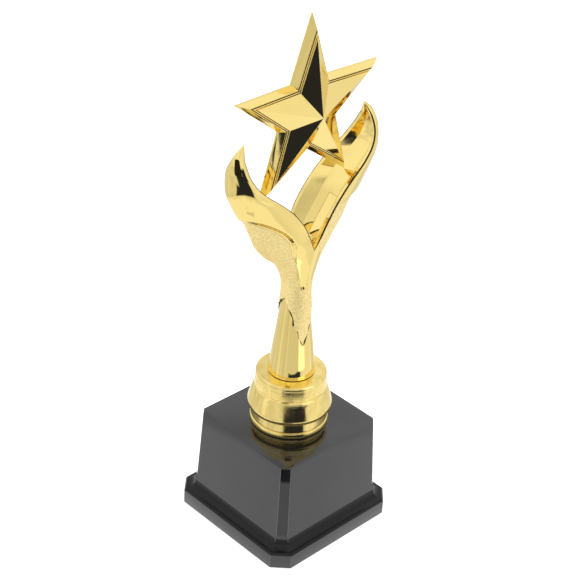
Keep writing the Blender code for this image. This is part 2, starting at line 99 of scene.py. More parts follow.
# Star
STAR_CENTRE = 212.4
STAR_RADIUS, STAR_WAIST = 37.95, 15.4
STAR_RIM_Y, STAR_APEX = -3.03, 7.12
STAR_DRAFT, STAR_BEZEL, STAR_BEZEL_RISE = 1.73, 1.44, 0.93
STAR_BACK_APEX = 7.0

# Gold tones
GOLD, DEEP_GOLD, WORN_GOLD = (0.985, 0.785, 0.295, 1), (0.965, 0.755, 0.265, 1), (0.90, 0.69, 0.225, 1)

CUTTERS = bpy.data.collections.new("cutters")
bpy.context.scene.collection.children.link(CUTTERS)
CUTTERS.hide_render = True


# ---------------------------------------------------------------- node helpers


class Nodes:
    """A short way to write a node tree."""

    COLOUR_A, COLOUR_B, COLOUR_RESULT = 6, 7, 2  # a Mix node's sockets when it mixes colours

    def __init__(self, tree):
        self.tree = tree

    def add(self, kind, **sockets):
        node = self.tree.nodes.new(kind)
        for key, value in sockets.items():
            if key in node.bl_rna.properties:
                setattr(node, key, value)
            else:
                self.put(node.inputs[key.replace("_", " ")], value)
        return node

    def put(self, socket, value):
        if isinstance(value, bpy.types.NodeSocket):
            self.tree.links.new(value, socket)
        else:
            socket.default_value = value

    def math(self, operation, *values):
        node = self.tree.nodes.new("ShaderNodeMath")
        node.operation = operation
        for socket, value in zip(node.inputs, values):
            self.put(socket, value)
        return node.outputs[0]

    def span(self, value, low, high, to_low=0.0, to_high=1.0, smooth=True):
        node = self.tree.nodes.new("ShaderNodeMapRange")
        node.interpolation_type = "SMOOTHSTEP" if smooth else "LINEAR"
        for key, item in (("Value", value), ("From Min", low), ("From Max", high), ("To Min", to_low),
                          ("To Max", to_high)):
            self.put(node.inputs[key], item)
        return node.outputs[0]

    def mix(self, share, low, high):
        node = self.tree.nodes.new("ShaderNodeMix")
        node.data_type = "RGBA"
        self.put(node.inputs["Factor"], share)
        self.put(node.inputs[self.COLOUR_A], low)
        self.put(node.inputs[self.COLOUR_B], high)
        return node.outputs[self.COLOUR_RESULT]


def new_material(name):
    made = bpy.data.materials.new(name)
    made.use_nodes = True
    nodes = Nodes(made.node_tree)
    return made, nodes, made.node_tree.nodes["Principled BSDF"]


def object_noise(nodes, scale, detail=4.0, rough=0.5):
    where = nodes.add("ShaderNodeTexCoord").outputs["Object"]
    noise = nodes.add("ShaderNodeTexNoise", Vector=where, Scale=scale, Detail=detail, Roughness=rough)
    return noise.outputs["Fac"]


def polished_gold():
    """Bright plating: nearly a mirror, with a moulded piece's slow waviness and faint rub marks."""
    made, nodes, shader = new_material("polished_gold")
    shader.inputs["Metallic"].default_value = 1.0
    tone = nodes.mix(nodes.span(object_noise(nodes, 35.0), 0.35, 0.7), GOLD, DEEP_GOLD)
    nodes.put(shader.inputs["Base Color"], tone)
    rub = object_noise(nodes, 420.0, 3.0, 0.6)
    nodes.put(shader.inputs["Roughness"], nodes.span(rub, 0.3, 0.8, 0.035, 0.085))
    edge = nodes.add("ShaderNodeBevel", samples=4, Radius=0.00028)
    wave = nodes.add("ShaderNodeBump", Strength=0.10, Distance=0.0002, Height=object_noise(nodes, 130.0, 1.0))
    nodes.put(wave.inputs["Normal"], edge.outputs[0])
    nodes.put(shader.inputs["Normal"], wave.outputs[0])
    return made


def rubbed_gold():
    """The riser's plating: the same gold, duller, with fine level scratches."""
    made, nodes, shader = new_material("rubbed_gold")
    shader.inputs["Metallic"].default_value = 1.0
    where = nodes.add("ShaderNodeTexCoord").outputs["Object"]
    stretch = nodes.add("ShaderNodeMapping", Vector=where, Scale=(260.0, 260.0, 2600.0))
    scratch = nodes.add("ShaderNodeTexNoise", Vector=stretch.outputs[0], Scale=1.0, Detail=4.0, Roughness=0.6)
    patch = object_noise(nodes, 240.0, 4.0, 0.6)
    tone = nodes.mix(nodes.span(patch, 0.35, 0.7), GOLD, WORN_GOLD)
    nodes.put(shader.inputs["Base Color"], tone)
    nodes.put(shader.inputs["Roughness"], nodes.span(patch, 0.35, 0.75, 0.09, 0.24))
    edge = nodes.add("ShaderNodeBevel", samples=4, Radius=0.0002)
    bump = nodes.add("ShaderNodeBump", Strength=0.22, Distance=0.0001, Height=scratch.outputs["Fac"])
    nodes.put(bump.inputs["Normal"], edge.outputs[0])
    nodes.put(shader.inputs["Normal"], bump.outputs[0])
    return made


def painted_shade_bronze():
    """Dull bronze, painted shade for the dark in a sharp groove or crease."""
    made, nodes, shader = new_material("painted_shade_bronze")
    shader.inputs["Metallic"].default_value = 1.0
    patch = nodes.span(object_noise(nodes, 300.0), 0.3, 0.7)
    tone = nodes.mix(patch, (0.035, 0.024, 0.010, 1), (0.07, 0.048, 0.018, 1))
    nodes.put(shader.inputs["Base Color"], tone)
    shader.inputs["Roughness"].default_value = 0.35
    return made


def frosted_gold():
    """Plating over a stippled mould: fine close pits that scatter the light."""
    made, nodes, shader = new_material("frosted_gold")
    shader.inputs["Metallic"].default_value = 0.62
    where = nodes.add("ShaderNodeTexCoord").outputs["Object"]
    pits = nodes.add("ShaderNodeTexVoronoi", Vector=where, Scale=1900.0)
    grain = object_noise(nodes, 1300.0, 3.0, 0.6)
    height = nodes.math("ADD", nodes.math("MULTIPLY", pits.outputs["Distance"], 0.8), grain)
    tone = nodes.mix(nodes.span(grain, 0.35, 0.7), (0.84, 0.65, 0.25, 1), (0.99, 0.84, 0.42, 1))
    nodes.put(shader.inputs["Base Color"], tone)
    nodes.put(shader.inputs["Roughness"], nodes.span(grain, 0.3, 0.75, 0.48, 0.62))
    bump = nodes.add("ShaderNodeBump", Strength=0.45, Distance=0.0002, Height=height)
    nodes.put(shader.inputs["Normal"], bump.outputs[0])
    return made


def black_plastic():
    """Glossy black moulding with a very fine grain and a few dull patches."""
    made, nodes, shader = new_material("black_plastic")
    grain = object_noise(nodes, 2200.0, 2.0)
    patch = object_noise(nodes, 60.0, 4.0, 0.55)
    tone = nodes.mix(nodes.span(patch, 0.35, 0.7), (0.006, 0.006, 0.0062, 1), (0.009, 0.009, 0.0092, 1))
    nodes.put(shader.inputs["Base Color"], tone)
    nodes.put(shader.inputs["Roughness"], nodes.span(patch, 0.3, 0.8, 0.05, 0.10))
    shader.inputs["IOR"].default_value = 1.78
    edge = nodes.add("ShaderNodeBevel", samples=4, Radius=0.0004)
    bump = nodes.add("ShaderNodeBump", Strength=0.06, Distance=0.0001, Height=grain)
    nodes.put(bump.inputs["Normal"], edge.outputs[0])
    nodes.put(shader.inputs["Normal"], bump.outputs[0])
    return made


def shaded_plastic():
    """The same moulding in the cove. A low IOR stands for the shade there."""
    made, nodes, shader = new_material("shaded_plastic")
    patch = object_noise(nodes, 60.0, 4.0, 0.55)
    tone = nodes.mix(patch, (0.004, 0.004, 0.0042, 1), (0.007, 0.007, 0.0072, 1))
    nodes.put(shader.inputs["Base Color"], tone)
    nodes.put(shader.inputs["Roughness"], nodes.span(patch, 0.3, 0.8, 0.12, 0.22))
    shader.inputs["IOR"].default_value = 1.34
    nodes.put(shader.inputs["Normal"], nodes.add("ShaderNodeBevel", samples=4, Radius=0.0004).outputs[0])
    return made


def painted_highlight_plastic():
    """The moulding's rounded upright edges. A paler grey is a painted highlight for the light line along
    each.
    """
    made, nodes, shader = new_material("painted_highlight_plastic")
    patch = object_noise(nodes, 500.0, 3.0, 0.6)
    nodes.put(shader.inputs["Base Color"], nodes.mix(patch, (0.16, 0.16, 0.162, 1), (0.30, 0.30, 0.302, 1)))
    shader.inputs["Roughness"].default_value = 0.4
    return made


def plain(name, low, high, scale, metallic, roughness, bump_strength):
    """A hidden or underside material: two tones broken up by noise, with some tooth."""
    made, nodes, shader = new_material(name)
    noise = object_noise(nodes, scale)
    nodes.put(shader.inputs["Base Color"], nodes.mix(nodes.span(noise, 0.3, 0.7), (*low, 1), (*high, 1)))
    shader.inputs["Metallic"].default_value = metallic
    nodes.put(shader.inputs["Roughness"], nodes.span(noise, 0.3, 0.7, roughness, roughness + 0.12))
    bump = nodes.add("ShaderNodeBump", Strength=bump_strength, Distance=0.0003, Height=noise)
    nodes.put(shader.inputs["Normal"], bump.outputs[0])
    return made


LOOKS = {
    "polished_gold": polished_gold(),
    "rubbed_gold": rubbed_gold(),
    "painted_shade_bronze": painted_shade_bronze(),
    "frosted_gold": frosted_gold(),
    "black_plastic": black_plastic(),
    "shaded_plastic": shaded_plastic(),
    "painted_highlight_plastic": painted_highlight_plastic(),
    "zinc_steel": plain("zinc_steel", (0.50, 0.51, 0.53), (0.66, 0.67, 0.69), 700.0, 1.0, 0.28, 0.15),
    "iron": plain("iron", (0.06, 0.06, 0.065), (0.12, 0.115, 0.11), 500.0, 1.0, 0.6, 0.7),
    "board": plain("board", (0.020, 0.020, 0.021), (0.035, 0.034, 0.033), 900.0, 0.0, 0.6, 0.3),
    "felt": plain("felt", (0.010, 0.010, 0.011), (0.030, 0.030, 0.033), 2600.0, 0.0, 0.85, 0.8),
}


# ---------------------------------------------------------------- shapes


def value_at(knots, t):
    """The smooth, never overshooting curve through the knots, at t."""
    if t <= knots[0][0]:
        return knots[0][1]
    if t >= knots[-1][0]:
        return knots[-1][1]
    slopes = [(b[1] - a[1]) / (b[0] - a[0]) for a, b in zip(knots, knots[1:])]
    tangents = [slopes[0]]
    for before, after in zip(slopes, slopes[1:]):
        tangents.append(2 * before * after / (before + after) if before * after > 0 else 0.0)
    tangents.append(slopes[-1])
    i = max(k for k in range(len(slopes)) if knots[k][0] <= t)
    (t0, v0), (t1, v1) = knots[i], knots[i + 1]
    span = t1 - t0
    s = (t - t0) / span
    rise = v0 * (2 * s + 1) * (1 - s) ** 2 + v1 * s * s * (3 - 2 * s)
    return rise + span * (tangents[i] * s * (1 - s) ** 2 + tangents[i + 1] * s * s * (s - 1))


def smooth_step(low, high, t):
    s = min(max((t - low) / (high - low), 0.0), 1.0)
    return s * s * (3 - 2 * s)


def mesh_of(bm, name):
    mesh = bpy.data.meshes.new(name)
    bm.to_mesh(mesh)
    bm.free()
    return mesh


def place(mesh, name, slot=None):
    """An object for this mesh: a visible piece when it has a slot, or else a hidden cutter."""
    obj = bpy.data.objects.new(name, mesh)
    (bpy.context.scene.collection if slot else CUTTERS).objects.link(obj)
    if slot:
        mesh.materials.append(LOOKS[slot])
    obj.hide_render = slot is None
    return obj


def from_bmesh(bm, name, slot=None):
    bm.normal_update()
    bmesh.ops.triangulate(bm, faces=[f for f in bm.faces if len(f.verts) > 3])
    bmesh.ops.recalc_face_normals(bm, faces=bm.faces)
    return place(mesh_of(bm, name), name, slot)


def loft(name, rings, slot=None):
    """A closed solid through rings of equally many points, in millimetres. A ring of one point is a tip."""
    bm = bmesh.new()
    levels = [[bm.verts.new(Vector(p) * MM) for p in ring] for ring in rings]
    for low, high in zip(levels, levels[1:]):
        count = max(len(low), len(high))
        for i in range(count):
            j = (i + 1) % count
            corners = [low[i % len(low)], low[j % len(low)], high[j % len(high)], high[i % len(high)]]
            bm.faces.new(list(dict.fromkeys(corners)))
    for end in (levels[0], levels[-1]):
        if len(end) > 2:
            bm.faces.new(end)
    return from_bmesh(bm, name, slot)


def prism(name, outline, y_low, y_high):
    bm = bmesh.new()
    face = bm.faces.new([bm.verts.new(Vector((x, y_low, z)) * MM) for x, z in outline])
    drawn = bmesh.ops.extrude_face_region(bm, geom=[face])["geom"]
    moved = [v for v in drawn if isinstance(v, bmesh.types.BMVert)]
    bmesh.ops.translate(bm, verts=moved, vec=Vector((0, y_high - y_low, 0)) * MM)
    return from_bmesh(bm, name)


def turned(name, profile, slot=None, steps=160):
    """A (radius, z) profile turned about Z, closed on itself unless it starts and ends on the axis."""
    bm = bmesh.new()
    rings = []
    for r, z in profile:
        if r == 0:
            rings.append([bm.verts.new((0, 0, z * MM))])
            continue
        turns = [2 * math.pi * k / steps for k in range(steps)]
        rings.append([bm.verts.new((r * math.cos(t) * MM, r * math.sin(t) * MM, z * MM)) for t in turns])
    closing = [] if profile[0][0] == 0 else rings[:1]
    for a, b in zip(rings, rings[1:] + closing):
        for k in range(steps):
            n = (k + 1) % steps
            corners = [a[k % len(a)], a[n % len(a)], b[n % len(b)], b[k % len(b)]]
            bm.faces.new(list(dict.fromkeys(corners)))
    bmesh.ops.recalc_face_normals(bm, faces=bm.faces)
    return place(mesh_of(bm, name), name, slot)


def rounded_profile(points, steps=5):
    """The profile with each marked corner (r, z, radius) rounded by an arc-like curve."""
    found = []
    for i, (r, z, radius) in enumerate(points):
        if not radius:
            found.append((r, z))
            continue
        here = Vector((r, z))
        before = Vector(points[i - 1][:2]) - here
        after = Vector(points[(i + 1) % len(points)][:2]) - here
        reach = min(radius, before.length * 0.48, after.length * 0.48)
        start, end = here + before.normalized() * reach, here + after.normalized() * reach
        for k in range(steps + 1):
            s = k / steps
            spot = start * (1 - s) ** 2 + here * 2 * s * (1 - s) + end * s * s
            found.append((spot.x, spot.y))
    return found


def carve(obj, cutter, operation="DIFFERENCE"):
    modifier = obj.modifiers.new(f"{operation.lower()}_{cutter.name}", "BOOLEAN")
    modifier.operation = operation
    modifier.solver = "MANIFOLD"
    modifier.object = cutter


def half_turned(obj, name):
    twin = bpy.data.objects.new(name, obj.data)
    twin.rotation_euler = (0, 0, math.pi)
    CUTTERS.objects.link(twin)
    twin.hide_render = True
    return twin


def baked(obj, angle=35):
    """Applies the modifiers, and shades smooth but for real edges."""
    bpy.context.view_layer.update()
    graph = bpy.context.evaluated_depsgraph_get()
    mesh = bpy.data.meshes.new_from_object(obj.evaluated_get(graph))
    obj.modifiers.clear()
    obj.data = mesh
    bm = bmesh.new()
    bm.from_mesh(mesh)
    bmesh.ops.remove_doubles(bm, verts=bm.verts, dist=MERGE)
    bmesh.ops.dissolve_degenerate(bm, edges=bm.edges, dist=MERGE)
    bm.to_mesh(mesh)
    bm.free()
    mesh.shade_smooth()
    mesh.set_sharp_from_angle(angle=math.radians(angle))
    return obj


def face_looks(obj, looks, look_of):
    """Gives the object these looks, and each face the one whose index look_of(face) gives."""
    obj.data.materials.clear()
    for look in looks:
        obj.data.materials.append(LOOKS[look])
    bm = bmesh.new()
    bm.from_mesh(obj.data)
    for face in bm.faces:
        face.material_index = look_of(face)
    bm.to_mesh(obj.data)
    bm.free()


def stands_for(obj, node):
    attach(obj, "root")
    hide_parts(node)


# ---------------------------------------------------------------- plinth


def square_ring(half, chamfer, z):
    inner = half - chamfer
    corners = [(half, -inner), (half, inner), (inner, half), (-inner, half),
               (-half, inner), (-half, -inner), (-inner, -half), (inner, -half)]
    return [(x, y, z) for x, y in corners]


def plinth_levels():
    levels = [(FOOT_HALF, FOOT_CHAMFER, 0.0), (FOOT_HALF, FOOT_CHAMFER, FOOT_HEIGHT)]
    cove_half, cove_z = FOOT_HALF - COVE_SETBACK, FOOT_HEIGHT + COVE_LIFT
    steps = 14
    for i in range(steps + 1):
        turn = math.pi / 2 * i / steps
        half = cove_half - COVE_RADIUS * math.sin(turn)
        share = (FOOT_HALF - half) / (FOOT_HALF - BLOCK_HALF_LOW)
        chamfer = FOOT_CHAMFER + (BLOCK_CHAMFER_LOW - FOOT_CHAMFER) * share
        levels.append((half, chamfer, cove_z + COVE_RADIUS * (1 - math.cos(turn))))
    levels.append((BLOCK_HALF_LOW, BLOCK_CHAMFER_LOW, MOULDING_TOP))
    levels.append((BLOCK_HALF_TOP, BLOCK_CHAMFER_TOP, PLINTH_HEIGHT))
    return levels


def plinth_look(face):
    """0 is glossy, 1 the cove with its painted shade, 2 a rounded upright edge between a side and a cut
    corner, with a painted highlight.
    """
    x, y, z = face.calc_center_median() / MM
    turn = math.degrees(math.atan2(abs(face.normal.y), abs(face.normal.x)))
    if abs(face.normal.z) < 0.3 and z > 1 and min(abs(turn - 22.5), abs(turn - 67.5)) < 8:
        return 2
    outer = max(abs(x), abs(y), (abs(x) + abs(y)) * 0.7071) > BLOCK_HALF_TOP + 1
    return int(outer and FOOT_HEIGHT + 0.5 < z < FOOT_HEIGHT + 1.3 + COVE_RADIUS)


def make_plinth():
    bm = bmesh.new()
    rings = [[bm.verts.new(Vector(p) * MM) for p in square_ring(*level)] for level in plinth_levels()]
    for low, high in zip(rings, rings[1:]):
        for i in range(8):
            j = (i + 1) % 8
            bm.faces.new((low[i], low[j], high[j], high[i]))
    bm.faces.new(rings[-1])
    bmesh.ops.recalc_face_normals(bm, faces=bm.faces)
    shell = place(mesh_of(bm, "plinth"), "plinth", "black_plastic")
    wall = shell.modifiers.new("wall", "SOLIDIFY")
    wall.thickness = PLINTH_WALL * MM
    wall.offset = -1
    wall.use_even_offset = True
    rounding = shell.modifiers.new("rounded_edges", "BEVEL")
    rounding.width = PLINTH_ROUNDING * MM
    rounding.segments = 3
    rounding.limit_method = "ANGLE"
    rounding.angle_limit = math.radians(25)
    rounding.harden_normals = False
    hole = turned("plinth_rod_hole", [(0, PLINTH_HEIGHT + 3), (ROD_HOLE, PLINTH_HEIGHT + 3),
                                      (ROD_HOLE, PLINTH_HEIGHT - 8), (0, PLINTH_HEIGHT - 8)], steps=48)
    carve(shell, hole)
    baked(shell, 20)
    face_looks(shell, ("black_plastic", "shaded_plastic", "painted_highlight_plastic"), plinth_look)
    stands_for(shell, "plinth_shell")


# ---------------------------------------------------------------- riser and stem


def make_riser():
    low = PLINTH_HEIGHT + GAP
    upper = rounded_profile([(14.0, RISER_TOP, 0), (16.75, RISER_TOP, 1.5), (16.85, 77.5, 0.5),
                             (17.25, 72.6, 0.15), (16.7, 72.2, 0.1), (17.35, 71.7, 0.12),
                             (17.5, 71.4, 0)])[:-1]
    roll = smooth_outline([(17.5, 71.4), (18.25, 69.5), (19.05, 67.0), (19.65, 65.0), (20.1, 63.3),
                           (20.1, 62.2), (19.75, 61.2), (18.9, 60.3), (17.75, 59.75)], 6)
    lower = rounded_profile([(17.75, 59.75, 0), (17.35, 59.4, 0.12), (17.75, 57.6, 1.0), (18.3, 55.6, 0.2),
                             (18.0, 55.25, 0.1), (18.6, 54.95, 0.2), (18.95, 53.7, 0.4), (18.6, low, 0.3),
                             (14.6, low, 0)])[1:]
    inner = [(14.8, 74.0), (14.2, 77.6), (6.0, 77.6), (5.6, 77.0), (5.6, low + 0.4), (ROD_HOLE, low + 0.4),
             (ROD_HOLE, RISER_TOP)]
    riser = turned("riser", upper + roll + lower + inner, "rubbed_gold", 192)
    stands_for(baked(riser, 40), "riser_collar")


def make_stem():
    heights = [STEM_TOP - 0.5 * i for i in range(92) if STEM_TOP - 0.5 * i > STEM_BOTTOM] + [STEM_BOTTOM]
    outer = [(value_at(STEM_RADIUS, z), z) for z in heights]
    floor = STEM_BOTTOM + 3.0
    inner = [(value_at(STEM_RADIUS, z) - STEM_WALL, z) for z in (floor, 90, 100, 110, 118, 126)]
    stem = turned("stem", outer + [(ROD_HOLE, STEM_BOTTOM), (ROD_HOLE, floor)] + inner, "polished_gold", 128)
    stands_for(baked(stem, 40), "stem_sleeve")


# ---------------------------------------------------------------- calyx and petals

LEVELS = [98 + 1.0 * i for i in range(42)] + [140 + 0.45 * i for i in range(80)]
LEVELS += [176 + 1.0 * i for i in range(31)]
LEVELS = [z for z in LEVELS if abs(z - NOTCH) > 0.2]
ARC_STEPS = 110
SKIRT = 1.7  # width of the slope from the polished band down to the frosted ground


def calyx_inset(turn, z, x=None):
    """How far the frosted ground lies below the petal's form. It is the same at every x."""
    around = smooth_step(math.radians(-85), math.radians(-45), turn)
    return STEP_DEPTH * smooth_step(STEP_START, STEP_END, z) * around


def side_of(points, x, z):
    """Distance in millimetres from (x, z) to the polyline: positive on its right, following it."""
    best, side = 1e9, 1.0
    for (x0, z0), (x1, z1) in zip(points, points[1:]):
        if min(abs(z - z0), abs(z - z1)) > 12 and min(abs(x - x0), abs(x - x1)) > 12:
            continue
        dx, dz = x1 - x0, z1 - z0
        share = min(max(((x - x0) * dx + (z - z0) * dz) / (dx * dx + dz * dz), 0.0), 1.0)
        away = math.hypot(x - x0 - share * dx, z - z0 - share * dz)
        if away < best:
            best, side = away, math.copysign(1.0, (x - x0) * dz - (z - z0) * dx)
    return best * side


def petal_inset(turn, z, x):
    """The polished band falls away to the frosted ground within the skirt's width."""
    deep = calyx_inset(turn, z)
    if deep < 0.01:
        return 0.0
    seam = SEAMS_COARSE["front" if turn > 0 else "back"]
    return deep * smooth_step(-0.15, 0.85, side_of(seam, -x, z) / SKIRT)


def half_section(z, inset=None):
    """The level ring of the left half (x < 0): an arc from the front rim round the keel, and a chord."""
    reach = value_at(RIM_REACH, z) if z > NOTCH else 0.0
    keel, depth, power = (value_at(knots, z) for knots in (KEEL, HALF_DEPTH, LENS_POWER))
    ring = []
    for i in range(ARC_STEPS + 1):
        turn = math.pi / 2 - math.pi * i / ARC_STEPS
        off = inset(turn, z, reach + (keel - reach) * math.cos(turn)) if inset else 0.0
        swing = math.copysign(abs(math.sin(turn)) ** power, turn)
        x = reach + max(keel - reach - off, 0.05) * math.cos(turn)
        ring.append((-x, -max(depth - off, 0.02) * swing, z))
    bulge = min(1.0, 0.5 * (NOTCH - z)) if z < NOTCH else -reach
    ring += [(bulge, 0.85 * ring[-1][1], z), (bulge, 0.85 * ring[0][1], z)]
    return ring


def figure_blank(name, slot, inset=None):
    tip = [(-value_at(RIM_REACH, PETAL_TIP), 0.0, PETAL_TIP)]
    return loft(name, [half_section(z, inset) for z in LEVELS] + [tip], slot)


def trough_section(z):
    """The level outline of the hollow inside the left petal, open towards the star."""
    reach = value_at(RIM_REACH, z) if z > NOTCH else 0.0
    depth = value_at(HALF_DEPTH, z)
    mouth = value_at(TROUGH_MOUTH_LOW, z) if z < NOTCH else max(depth - RIM_WIDTH, 0.4 * depth)
    floor = reach + value_at(TROUGH_DEPTH, z)
    floor_half = min(value_at(TROUGH_FLOOR_HALF, z), 0.9 * mouth)
    back = 3.0 - reach if reach < 8 else -(reach - 5.0)
    outline = [(back, -mouth), (-reach, -mouth), (-floor, -floor_half), (-floor - 0.5, 0),
               (-floor, floor_half), (-reach, mouth), (back, mouth)]
    return [(x, y, z) for x, y in outline]


def spline_value(p, q, r, t, s):
    """The Catmull-Rom curve between q and r, at the share s."""
    square, cube = 2 * p - 5 * q + 4 * r - t, 3 * q - p - 3 * r + t
    return 0.5 * (2 * q + (r - p) * s + square * s * s + cube * s**3)


def smooth_outline(points, per_span=8):
    ends = [points[0]] + points + [points[-1]]
    found = []
    for a, b, c, d in zip(ends, ends[1:], ends[2:], ends[3:]):
        for i in range(per_span):
            found.append(tuple(spline_value(*four, i / per_span) for four in zip(a, b, c, d)))
    return found + [points[-1]]


def shifted(points, distance):
    """The polyline moved sideways: to its right for a positive distance, following it."""
    moved = []
    for i, (x, z) in enumerate(points):
        before, after = points[max(i - 1, 0)], points[min(i + 1, len(points) - 1)]
        dx, dz = after[0] - before[0], after[1] - before[1]
        length = math.hypot(dx, dz)
        moved.append((x + distance * dz / length, z - distance * dx / length))
    return moved


SEAMS_COARSE = {"front": smooth_outline(SEAM_FRONT, 2), "back": smooth_outline(SEAM_BACK, 2)}
SEAMS = {"front": smooth_outline(SEAM_FRONT), "back": smooth_outline(SEAM_BACK)}
OVERLAP = 0.03  # how far each side's cutter passes the middle plane
SIDES = {"front": (-50.0, OVERLAP), "back": (-OVERLAP, 50.0)}
SEAM_GAP = 0.06


def skirted(seam):
    """The seam moved out to the foot of the skirt, which narrows to nothing down the strip."""
    found = []
    for (x, z), (moved_x, moved_z) in zip(seam, shifted(seam, SKIRT)):
        share = smooth_step(STEP_START, STEP_END, z) * smooth_step(-1.0, -7.0, x)
        found.append((x + (moved_x - x) * share, z + (moved_z - z) * share))
    return found


def petal_complement(side):
    """All that isn't petal on this side of the figure."""
    seam = skirted(SEAMS[side])
    outline = seam + [(-OVERLAP, seam[-1][1]), (-OVERLAP, 220), (60, 220), (60, 90), (-60, 90)]
    return prism(f"not_petal_{side}", outline, *SIDES[side])


def petal_room(side):
    """What the calyx leaves free for the petal, with a hair's gap."""
    seam = shifted(skirted(SEAMS[side]), SEAM_GAP)
    outline = seam + [(seam[-1][0], 220), (-60, 220)]
    return prism(f"petal_room_{side}", outline, *SIDES[side])


def make_figure():
    trough = loft("trough_left", [trough_section(z) for z in LEVELS if 142 < z < 206])
    trough_right = half_turned(trough, "trough_right")
    blank = figure_blank("petal_left_looks", "polished_gold", petal_inset)
    right_half = half_turned(blank, "petal_right_half")
    carve(blank, right_half, "UNION")
    for side in SEAMS:
        carve(blank, petal_complement(side))
    carve(blank, trough)
    carve(blank, trough_right)
    calyx = figure_blank("calyx", "frosted_gold", calyx_inset)
    carve(calyx, half_turned(calyx, "calyx_right_half"), "UNION")
    for side in SEAMS:
        room = petal_room(side)
        carve(calyx, room)
        carve(calyx, half_turned(room, f"petal_room_{side}_right"))
    carve(calyx, trough)
    carve(calyx, trough_right)
    carve(calyx, make_leaf_cutter())
    bore = [(value_at(STEM_RADIUS, z) + 0.05, z) for z in (STEM_TOP + GAP, 122, 118, 113, 108, 102, 96, 92)]
    carve(calyx, turned("calyx_bore", [(0.0, STEM_TOP + GAP)] + bore + [(0.0, 92)], steps=96))
    baked(blank)
    baked(calyx)
    # The third look is painted shade on the leaves' cut edge.
    face_looks(calyx, ("frosted_gold", "polished_gold", "painted_shade_bronze"), calyx_look)
    twin = bpy.data.objects.new("petal_right_looks", blank.data)
    twin.rotation_euler = (0, 0, math.pi)
    bpy.context.scene.collection.objects.link(twin)
    stands_for(blank, "petal_left")
    stands_for(twin, "petal_right")
    stands_for(calyx, "calyx_sheath")


def calyx_look(face):
    """0 is frosted. 1 is bright, in the hollows and on the rims. 2 is painted shade, dark on the leaves' cut
    edge.
    """
    x, y, z = face.calc_center_median() / MM
    if z < 128:
        out = math.hypot(x, y)
        outward = face.normal.x * x + face.normal.y * y
        return 2 if z > 92 and abs(outward) < 0.55 * out and out > value_at(STEM_RADIUS, z) else 0
    if z < 142.5:
        return 0
    reach = value_at(RIM_REACH, z) if z > NOTCH else 0.0
    mouth = value_at(TROUGH_MOUTH_LOW, z) if z < NOTCH else value_at(HALF_DEPTH, z) - RIM_WIDTH
    inside = abs(y) < mouth + 0.05 and abs(x) < reach + value_at(TROUGH_DEPTH, z) + 0.6
    rim = z > NOTCH and abs(x) < reach + 0.08
    return int(inside or rim)


def painted_shade_line(name, points, thickness, node):
    """A thin dark line of painted shade laid along the points, in millimetres, thinning towards both ends."""
    curve = bpy.data.curves.new(name, "CURVE")
    curve.dimensions = "3D"
    curve.bevel_depth = thickness / 2 * MM
    curve.bevel_resolution = 2
    curve.use_fill_caps = True
    spline = curve.splines.new("POLY")
    spline.points.add(len(points) - 1)
    for i, (point, at) in enumerate(zip(spline.points, points)):
        point.co = (*(Vector(at) * MM), 1)
        from_end = min(i, len(points) - 1 - i)
        point.radius = min(1.0, 0.3 + 6 * from_end / len(points))
    curve.materials.append(LOOKS["painted_shade_bronze"])
    obj = bpy.data.objects.new(name, curve)
    bpy.context.scene.collection.objects.link(obj)
    bpy.context.view_layer.update()
    mesh = bpy.data.meshes.new_from_object(obj.evaluated_get(bpy.context.evaluated_depsgraph_get()))
    made = bpy.data.objects.new(name + "_line", mesh)
    bpy.context.scene.collection.objects.link(made)
    bpy.data.objects.remove(obj)
    mesh.shade_smooth()
    stands_for(made, node)


def make_creases():
    """Painted shade as thin dark lines: along the creases of the rims and round the leaves, and a dark
    diamond for the shade in the pit on each strip's tip.
    """
    heights = [NOTCH + 0.6 + 0.8 * i for i in range(72)]
    for side, node in ((-1, "petal_left"), (1, "petal_right")):
        for front in (-1, 1):
            rim = [(side * value_at(RIM_REACH, z), front * value_at(HALF_DEPTH, z), z) for z in heights]
            painted_shade_line(f"rim_{node}_{front}", rim, 0.8 if side * front < 0 else 0.3, node)
    for side in (-1, 1):
        mark = [(2.3 * side, 7.0 * side, 128.2 + rise) for rise in (-0.7, -0.35, 0.0, 0.35, 0.7)]
        painted_shade_line(f"tip_mark_{side}", mark, 0.75, "calyx_sheath")
    edge = smooth_outline(LEAF_EDGE + [(90, 122.0)], 6)
    for half in (0, 180):
        falling = [(turn, z) for turn, z in edge if turn <= -15]
        rising = [(turn, z) for turn, z in edge if turn >= -16]
        for part, thickness in ((falling, 0.5), (rising, 0.9)):
            points = []
            for turn, z in part:
                out = value_at(STEM_RADIUS, z) + 0.15
                angle = math.radians(turn + half)
                points.append((out * math.sin(angle), -out * math.cos(angle), z - 0.35))
            painted_shade_line(f"leaf_{half}_{thickness}", points, thickness, "calyx_sheath")


def make_leaf_cutter():
    """The ring of space below the calyx's lower edge, which rises and falls as two leaves."""
    knots = LEAF_EDGE + [(turn + 180, z) for turn, z in LEAF_EDGE]
    bm = bmesh.new()
    walls = []
    for turn, z in knots:
        x, y = math.sin(math.radians(turn)), -math.cos(math.radians(turn))
        section = ((4, 90), (14, 90), (14, z), (4, z))
        walls.append([bm.verts.new(Vector((r * x, r * y, h)) * MM) for r, h in section])
    for here, there in zip(walls, walls[1:] + walls[:1]):
        for i in range(4):
            j = (i + 1) % 4
            bm.faces.new((here[i], here[j], there[j], there[i]))
    return from_bmesh(bm, "leaf_cut")


# ---------------------------------------------------------------- star


def star_ring(inset, y):
    """The star's outline at this y, with every edge moved in by the inset."""
    tip_radius = STAR_RADIUS - inset / math.sin(math.radians(18))
    waist_radius = STAR_WAIST - inset / math.cos(math.radians(36))
    ring = []
    for i in range(10):
        angle = math.radians(90 + 36 * i)
        radius = waist_radius if i % 2 else tip_radius
        ring.append((radius * math.cos(angle), y, STAR_CENTRE + radius * math.sin(angle)))
    return ring


